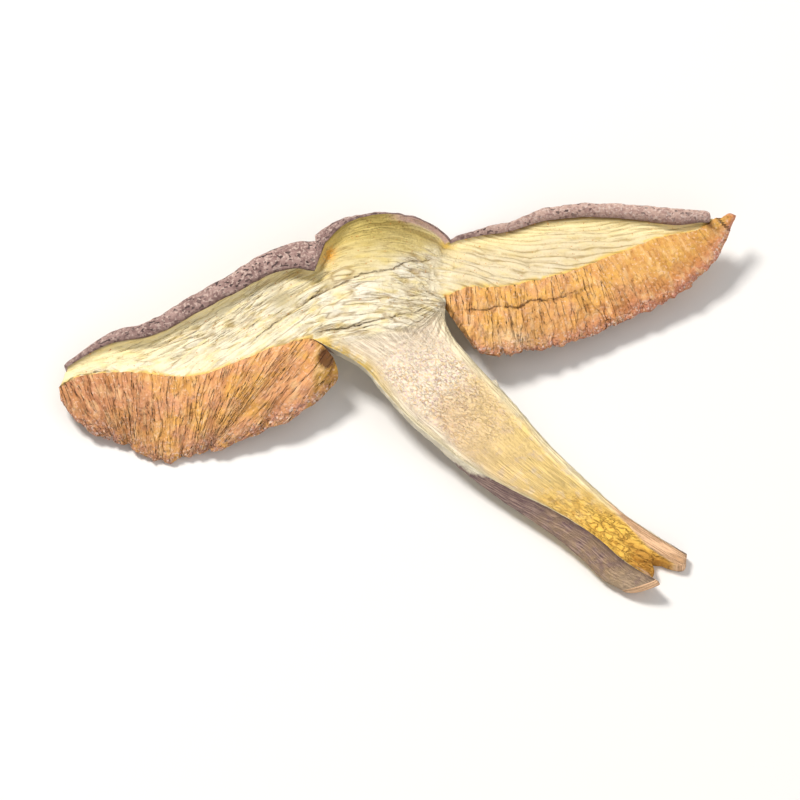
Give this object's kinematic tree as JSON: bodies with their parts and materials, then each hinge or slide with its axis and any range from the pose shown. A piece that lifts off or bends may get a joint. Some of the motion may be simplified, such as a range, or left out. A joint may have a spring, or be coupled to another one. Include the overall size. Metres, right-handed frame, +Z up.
{
  "type": "dried bolete slice",
  "caption": "Dried lengthwise slice of a red bolete lying face up: cap wings with ridged tube layers, curled skin rim and a forked stem.",
  "frame": {"origin": "centre of the slice's bounding box, on the surface that it rests on", "axes": "+X from the left tip of the cap to the right one, +Y from the stem's end towards the cap's rim, +Z up out of the cut face"},
  "size_m": [0.1112, 0.0716, 0.013],
  "materials": {
    "dried_bolete": "matte"
  },
  "bodies": {
    "root": {"bolete_slice": "dried_bolete"}
  },
  "joints": []
}
